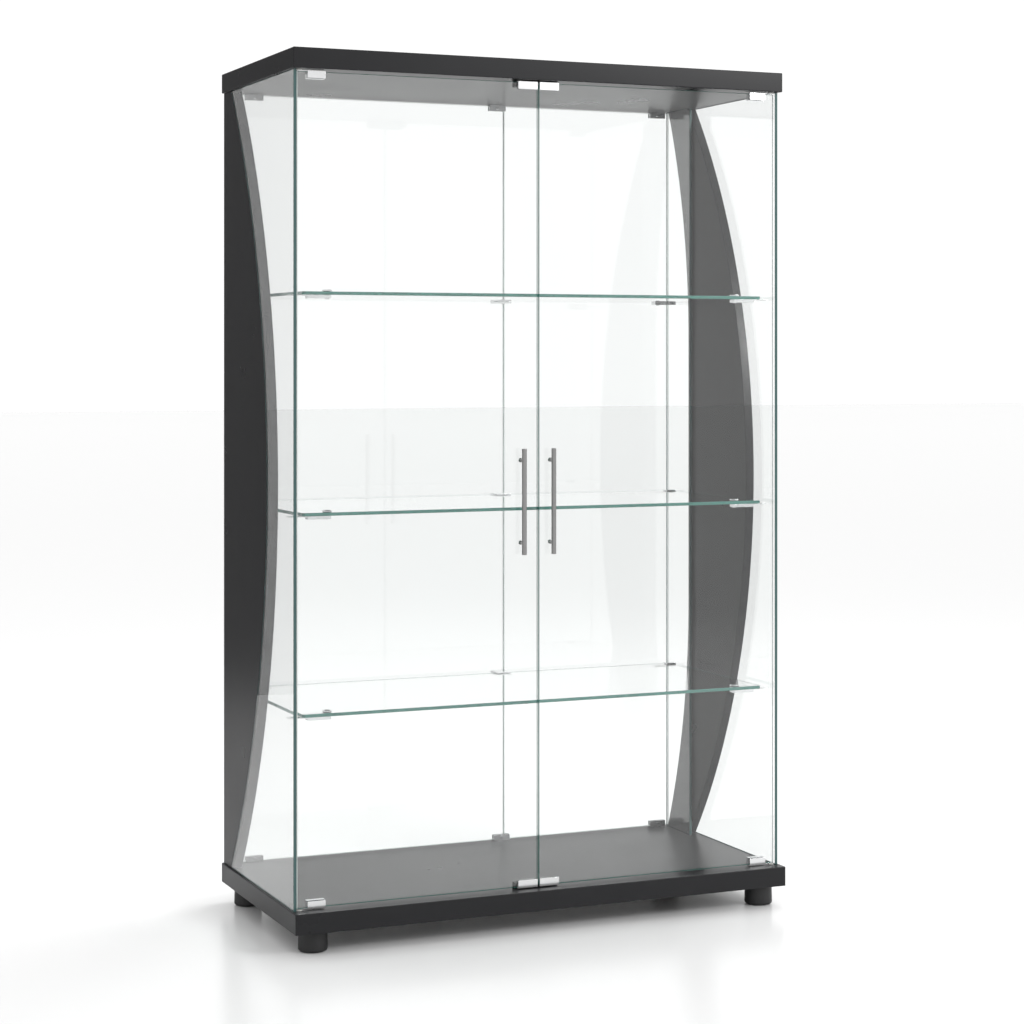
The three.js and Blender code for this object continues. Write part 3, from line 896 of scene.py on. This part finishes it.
# ---------------------------------------------------------------------------------------------
# Strike plates. Folded steel caps on the meeting corners of the doors, which the catches pull
# on. Each is held to the glass by a thin dark tape that shows along its edges.

dark_rubber, _ = layered_finish(
    "black_rubber",
    tone=(0.012, 0.012, 0.012),
    tone_spread=0.2,
    rough=0.7,
    rough_spread=0.08,
    grain=(1800.0, 0.00006, (1.0, 1.0, 1.0)),
    clouds=40.0,
)
strike_wall = 0.0016
tape_inset = 0.001
tape_ease = 0.00005

for side in ("left", "right"):
    for level, up in levels.items():
        place = side + "_" + level
        low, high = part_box("strike_plate_" + place)
        web = low[2] + strike_wall if up > 0 else high[2] - strike_wall
        web_row = 0 if up > 0 else 1

        def strike_cell(i, j, k):
            return k == web_row or j in (0, 2)

        ys = [low[1], low[1] + strike_wall, high[1] - strike_wall, high[1]]
        strike = stacked_blocks([low[0], high[0]], ys, [low[2], web, high[2]], strike_cell)
        body = side + "_door"
        label = "strike_" + place
        make_piece(strike, label, [satin_metal], body, "satin_metal", "strike_plate_" + place)
        inner_z = (web, high[2]) if up > 0 else (low[2], web)
        for face, y0, y1 in (
            ("front", low[1] + strike_wall, door_front),
            ("back", door_back, high[1] - strike_wall),
        ):
            near = (low[0] + tape_inset, y0 - 0.00001, inner_z[0])
            far = (high[0] - tape_inset, y1 - 0.00003, inner_z[1])
            tape = block(near, far)
            if face == "back":
                bmesh.ops.translate(tape, vec=(0, 0.00004, 0), verts=tape.verts)
            ease_edges(tape, tape_ease, 1)
            make_piece(tape, f"tape_{place}_{face}", [dark_rubber], body, "catch_plastic")


# ---------------------------------------------------------------------------------------------
# Bar handles. Round brushed steel bars on two turned posts with collars, fixed through the
# glass by screws with round heads and pale nylon washers behind the pane.

# Its much lighter eased edges are partly wear and partly a painted highlight.
brushed_steel, brushed_steel_shader = layered_finish(
    "brushed_steel",
    tone=(0.27, 0.268, 0.266),
    tone_spread=0.08,
    rough=0.30,
    rough_spread=0.06,
    grain=(900.0, 0.000016, (1.0, 1.0, 0.03)),
    clouds=50.0,
    wear_and_sheen=0.2,
    wear_and_sheen_tone=(0.72, 0.71, 0.7),
)
brushed_steel_shader.inputs["Metallic"].default_value = 1.0
post_radius = 0.003
post_collar = 0.0008
cap_washer = 0.0005
screw_radius = 0.0027
screw_length = 0.0052

for side in ("left", "right"):
    body = side + "_door"
    low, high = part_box("handle_" + side)
    bar_radius = (high[0] - low[0]) / 2
    bar_x = (low[0] + high[0]) / 2
    bar_y = low[1] + bar_radius
    length = high[2] - low[2]
    end = [(0, 0), (bar_radius - 0.0009, 0), (bar_radius - 0.0003, 0.0003), (bar_radius, 0.0009)]
    profile = end + [(r, length - h) for r, h in reversed(end)]
    bar = turned(profile, (bar_x, bar_y, low[2]), steps=48)
    make_piece(bar, "handle_bar_" + side, [brushed_steel], body, "satin_metal", "handle_" + side)
    reach = high[1] - bar_y
    collar = post_radius + post_collar
    for level, z in zip(("lower", "upper"), post_heights):
        shape = [(0, 0.001), (post_radius, 0.001), (post_radius, reach - 0.0018)]
        shape += [(collar - 0.0002, reach - 0.0016), (collar, reach - 0.0013)]
        shape += [(collar, reach), (0, reach)]
        post = turned(shape, (bar_x, bar_y, z), steps=36, axis=(0, 1, 0))
        make_piece(post, f"handle_post_{side}_{level}", [brushed_steel], body, "satin_metal")
        cap_low, cap_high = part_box(f"handle_cap_{side}_{level}")
        cap_radius = (cap_high[0] - cap_low[0]) / 2
        washer = [(0, 0), (cap_radius, 0), (cap_radius, cap_washer), (0, cap_washer)]
        ring = turned(washer, (bar_x, door_back + 0.0002, z), steps=28, axis=(0, 1, 0))
        make_piece(ring, f"handle_washer_{side}_{level}", [nylon], body, "satin_metal")
        centre = (bar_x, door_back + 0.0002 + cap_washer, z)
        height = cap_high[1] - centre[1]
        cap = socket_screw(cap_radius, height, 0.0017, centre, (0, 1, 0))
        label = f"{side}_{level}"
        make_piece(cap, "cap_" + label, [satin_metal], body, "satin_metal", "handle_cap_" + label)
        shank = [(0, 0), (screw_radius, 0), (screw_radius, screw_length), (0, screw_length)]
        screw = turned(shank, (bar_x, door_front, z), steps=20, axis=(0, 1, 0))
        make_piece(screw, f"handle_screw_{side}_{level}", [satin_metal], body, "satin_metal")


# ---------------------------------------------------------------------------------------------
# Magnetic catches. Black moulded bodies screwed under the top board and on the base, each with
# two magnets whose steel faces sit behind the strike plates.

magnet_inset = 0.024
magnet_half = 0.012
magnet_half_rise = 0.0032

for level, up in levels.items():
    low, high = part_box("magnet_catch_" + level)
    case = block(low, high)
    ease_edges(case, 0.0011, 3)
    label = "catch_case_" + level
    make_piece(case, label, [foot_plastic], "carcass", "catch_plastic", "magnet_catch_" + level)
    middle_z = (low[2] + high[2]) / 2
    for side, x in (("left", low[0] + magnet_inset), ("right", high[0] - magnet_inset)):
        near = (x - magnet_half, low[1] - 0.0004, middle_z - magnet_half_rise)
        far = (x + magnet_half, low[1] + 0.001, middle_z + magnet_half_rise)
        face = block(near, far)
        ease_edges(face, 0.0004, 2)
        make_piece(face, f"catch_magnet_{level}_{side}", [satin_metal], "carcass", "satin_metal")


# ---------------------------------------------------------------------------------------------
# Back glass clips. Folded metal channels screwed to the boards, with a grub screw in the front
# leg that holds the pane against a soft liner.

clip_wall = 0.0022
for place in ("left", "centre", "right"):
    for level, up in levels.items():
        label = place + "_" + level
        low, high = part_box("back_clip_" + label)
        web = low[2] + clip_wall if up > 0 else high[2] - clip_wall
        web_row = 0 if up > 0 else 1

        def channel_cell(i, j, k):
            return k == web_row or j in (0, 2)

        ys = [low[1], low[1] + clip_wall, high[1] - clip_wall, high[1]]
        clip = stacked_blocks([low[0], high[0]], ys, [low[2], web, high[2]], channel_cell)
        name = "channel_clip_" + label
        make_piece(clip, name, [satin_metal], "carcass", "satin_metal", "back_clip_" + label)
        middle = ((low[0] + high[0]) / 2, low[1] + 0.0002, (low[2] + high[2]) / 2 + up * 0.001)
        grub = socket_screw(0.0028, 0.0012, 0.0013, middle, (0, -1, 0))
        make_piece(grub, "channel_screw_" + label, [satin_metal], "carcass", "satin_metal")


# ---------------------------------------------------------------------------------------------
# Front shelf clamps. A thick nickel plate under the glass and a disc on top of it are drawn
# together by a screw, and a thin strap runs out from the plate to the side pane.

plate_inner, plate_outer = 0.415, 0.459
plate_thickness = 0.0062
strap = 0.0016
pane_gap = 0.0003
clamp_half = 0.009
clamp_screw_radius = 0.003
pad_thickness = 0.0004

for level in ("lower", "middle", "upper"):
    shelf_low, shelf_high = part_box("shelf_" + level)
    under, over = shelf_low[2] - pane_gap, shelf_high[2] + pane_gap
    for side, sign in (("left", -1), ("right", 1)):
        label = f"{level}_{side}_front"
        low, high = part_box("shelf_clip_" + label)
        strap_end = high[0] if sign > 0 else -low[0]
        xs = sorted(sign * x for x in (plate_inner, plate_outer, strap_end))
        ys = [clamp_y - clamp_half, clamp_y + clamp_half]
        zs = [under - plate_thickness, under - strap, under]
        plate_column = 0 if sign > 0 else 1

        def clamp_part(i, j, k):
            return i == plate_column or k == 1

        clamp = stacked_blocks(xs, ys, zs, clamp_part)
        name = "shelf_clamp_" + label
        make_piece(clamp, name, [satin_metal], "carcass", "satin_metal", "shelf_clip_" + label)
        centre = (sign * clamp_x, clamp_y)
        length = over - under + 0.001
        shank = [(0, 0), (clamp_screw_radius, 0), (clamp_screw_radius, length), (0, length)]
        screw = turned(shank, (*centre, under - 0.0005), steps=24)
        make_piece(screw, "clamp_screw_" + label, [satin_metal], "carcass", "satin_metal")
        cup = [(0, pad_thickness), (clamp_half - 0.0005, pad_thickness)]
        cup += [(clamp_half, 0.0008), (clamp_half, 0.0024)]
        cup += [(clamp_half - 0.0006, 0.003), (0.0068, 0.003), (0.0066, 0.0026), (0, 0.0026)]
        disc = turned(cup, (*centre, over), steps=48)
        make_piece(disc, "clamp_disc_" + label, [satin_metal], "carcass", "satin_metal")
        lid = [(0, 0.0025), (0.0064, 0.0025), (0.0064, 0.0029), (0.0056, 0.0032), (0, 0.0033)]
        cap = turned(lid, (*centre, over), steps=40)
        make_piece(cap, "clamp_cap_" + label, [dark_rubber], "carcass", "catch_plastic")
        pad_radius = clamp_half - 0.001
        pad = [(0, 0), (pad_radius, 0), (pad_radius, pad_thickness), (0, pad_thickness)]
        gasket = turned(pad, (*centre, over - 0.0002), steps=40)
        make_piece(gasket, "clamp_pad_" + label, [dark_rubber], "carcass", "catch_plastic")
        head = (sign * clamp_x, clamp_y, under - plate_thickness + 0.0002)
        bolt = socket_screw(0.0042, 0.0014, 0.0018, head, (0, 0, -1))
        make_piece(bolt, "clamp_bolt_" + label, [satin_metal], "carcass", "satin_metal")


# ---------------------------------------------------------------------------------------------
# Rear shelf clips. Two-jaw metal clips: the long lower jaw carries the shelf, the short upper
# jaw holds it down, and a screw with a soft tip comes up through the lower jaw to lock it.

jaw_low = 0.0034
jaw_high = 0.0024
reach_high = 0.016
lock_inset = 0.010


def lock_screw(label, x, y, z):
    lock = socket_screw(0.0034, 0.0018, 0.0016, (x, y, z + 0.0003), (0, 0, -1))
    make_piece(lock, "lock_screw_" + label, [satin_metal], "carcass", "satin_metal")


for level in ("lower", "middle", "upper"):
    shelf_low, shelf_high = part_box("shelf_" + level)
    for side, sign in (("left", -1), ("right", 1)):
        label = f"{level}_{side}_rear"
        edge = shelf_high[0] - rear_step
        low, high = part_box("shelf_clip_" + label)
        zs = [low[2], low[2] + jaw_low, high[2] - jaw_high, high[2]]
        xs = sorted([low[0], sign * (edge - reach_high), sign * (edge + pane_gap), high[0]])
        web_column = 2 if sign > 0 else 0

        def corner_jaw(i, j, k):
            return i == web_column or k == 0 or (k == 2 and i == 1)

        clip = stacked_blocks(xs, [low[1], high[1]], zs, corner_jaw)
        name = "jaw_clip_" + label
        make_piece(clip, name, [satin_metal], "carcass", "satin_metal", "shelf_clip_" + label)
        tip_x = (low[0] if sign > 0 else high[0]) + sign * lock_inset
        lock_screw(label, tip_x, (low[1] + high[1]) / 2, low[2])
    label = level + "_centre_rear"
    low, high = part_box("shelf_clip_" + label)
    zs = [low[2], low[2] + jaw_low, high[2] - jaw_high, high[2]]
    ys = [low[1], shelf_high[1] - reach_high, shelf_high[1] + pane_gap, high[1]]

    def centre_jaw(i, j, k):
        return j == 2 or k == 0 or (k == 2 and j == 1)

    clip = stacked_blocks([low[0], high[0]], ys, zs, centre_jaw)
    name = "jaw_clip_" + label
    make_piece(clip, name, [satin_metal], "carcass", "satin_metal", "shelf_clip_" + label)
    lock_screw(label, (low[0] + high[0]) / 2, low[1] + 0.008, low[2])


low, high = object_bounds()
